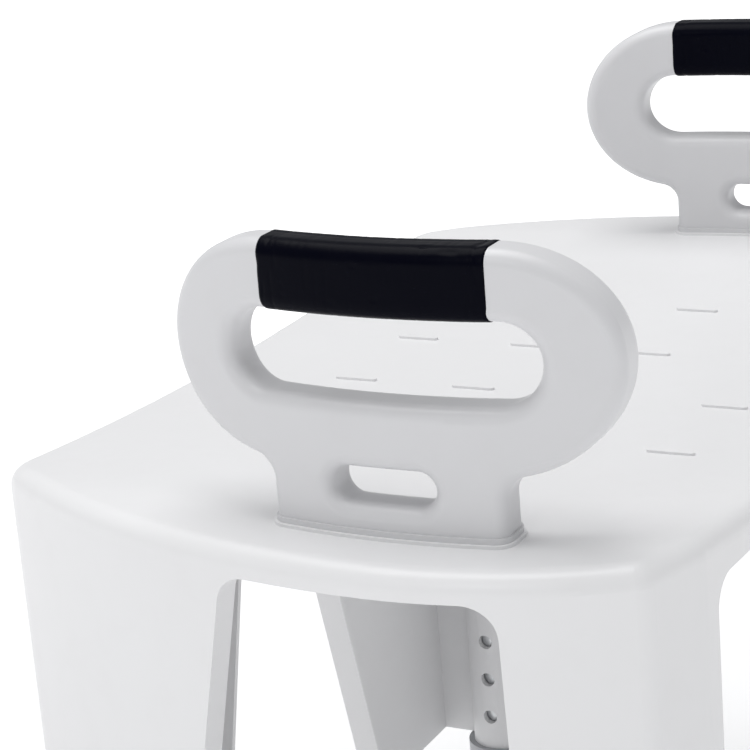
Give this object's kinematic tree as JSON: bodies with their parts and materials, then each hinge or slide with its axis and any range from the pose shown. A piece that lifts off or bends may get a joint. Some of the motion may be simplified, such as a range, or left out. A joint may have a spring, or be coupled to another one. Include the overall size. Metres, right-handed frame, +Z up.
{
  "type": "shower stool",
  "caption": "Moulded shower stool with a dished seat, a loop handle with a rubber grip on each side, and legs that extend and lock with snap buttons.",
  "frame": {"origin": "on the floor, under the middle of the seat, legs pushed right in", "axes": "+Z up, the front of the seat faces -Y, +X to the right as seen from the front"},
  "size_m": [0.566, 0.343, 0.5516],
  "materials": {
    "moulded_plastic": "fine satin gloss, white",
    "handle_plastic": "satin gloss, white",
    "grip_rubber": "smooth soft rubber, very dark blue",
    "brass_inserts": "turned",
    "stainless_fixings": "brushed",
    "leg_aluminium": "satin anodised",
    "spring_steel": "polished spring strip",
    "foot_rubber": "matt rubber, dark grey",
    "collar_plastic": "fine textured, grey"
  },
  "bodies": {
    "seat": {"seat_shell": "moulded_plastic", "handle_left": "handle_plastic", "handle_grip_left": "grip_rubber", "handle_inserts_left": "brass_inserts", "handle_screws_left": "stainless_fixings", "handle_washers_left": "stainless_fixings", "handle_right": "handle_plastic", "handle_grip_right": "grip_rubber", "handle_inserts_right": "brass_inserts", "handle_screws_right": "stainless_fixings", "handle_washers_right": "stainless_fixings", "leg_collar_front_left": "collar_plastic", "leg_collar_front_right": "collar_plastic", "leg_collar_rear_left": "collar_plastic", "leg_collar_rear_right": "collar_plastic"},
    "leg_front_left": {"leg_tube_front_left": "leg_aluminium", "foot_front_left": "foot_rubber", "foot_disc_front_left": "stainless_fixings", "tube_plug_front_left": "collar_plastic"},
    "button_front_left": {"snap_clip_front_left": "spring_steel"},
    "leg_front_right": {"leg_tube_front_right": "leg_aluminium", "foot_front_right": "foot_rubber", "foot_disc_front_right": "stainless_fixings", "tube_plug_front_right": "collar_plastic"},
    "button_front_right": {"snap_clip_front_right": "spring_steel"},
    "leg_rear_left": {"leg_tube_rear_left": "leg_aluminium", "foot_rear_left": "foot_rubber", "foot_disc_rear_left": "stainless_fixings", "tube_plug_rear_left": "collar_plastic"},
    "button_rear_left": {"snap_clip_rear_left": "spring_steel"},
    "leg_rear_right": {"leg_tube_rear_right": "leg_aluminium", "foot_rear_right": "foot_rubber", "foot_disc_rear_right": "stainless_fixings", "tube_plug_rear_right": "collar_plastic"},
    "button_rear_right": {"snap_clip_rear_right": "spring_steel"}
  },
  "joints": [
    {"name": "leg_front_left_extend", "type": "slide", "parent": "seat", "child": "leg_front_left", "axis": [0, 0, -1], "range_m": [0, 0.1]},
    {"name": "leg_front_right_extend", "type": "slide", "parent": "seat", "child": "leg_front_right", "axis": [0, 0, -1], "range_m": [0, 0.1]},
    {"name": "leg_rear_left_extend", "type": "slide", "parent": "seat", "child": "leg_rear_left", "axis": [0, 0, -1], "range_m": [0, 0.1]},
    {"name": "leg_rear_right_extend", "type": "slide", "parent": "seat", "child": "leg_rear_right", "axis": [0, 0, -1], "range_m": [0, 0.1]},
    {"name": "button_front_left_press", "type": "slide", "parent": "leg_front_left", "child": "button_front_left", "axis": [-1, 0, 0], "range_m": [0, 0.0062], "stiffness_N_per_m": 900, "springref_m": -0.004, "deforming": ["snap_clip_front_left"]},
    {"name": "button_front_right_press", "type": "slide", "parent": "leg_front_right", "child": "button_front_right", "axis": [1, 0, 0], "range_m": [0, 0.0062], "stiffness_N_per_m": 900, "springref_m": -0.004, "deforming": ["snap_clip_front_right"]},
    {"name": "button_rear_left_press", "type": "slide", "parent": "leg_rear_left", "child": "button_rear_left", "axis": [-1, 0, 0], "range_m": [0, 0.0062], "stiffness_N_per_m": 900, "springref_m": -0.004, "deforming": ["snap_clip_rear_left"]},
    {"name": "button_rear_right_press", "type": "slide", "parent": "leg_rear_right", "child": "button_rear_right", "axis": [1, 0, 0], "range_m": [0, 0.0062], "stiffness_N_per_m": 900, "springref_m": -0.004, "deforming": ["snap_clip_rear_right"]}
  ]
}
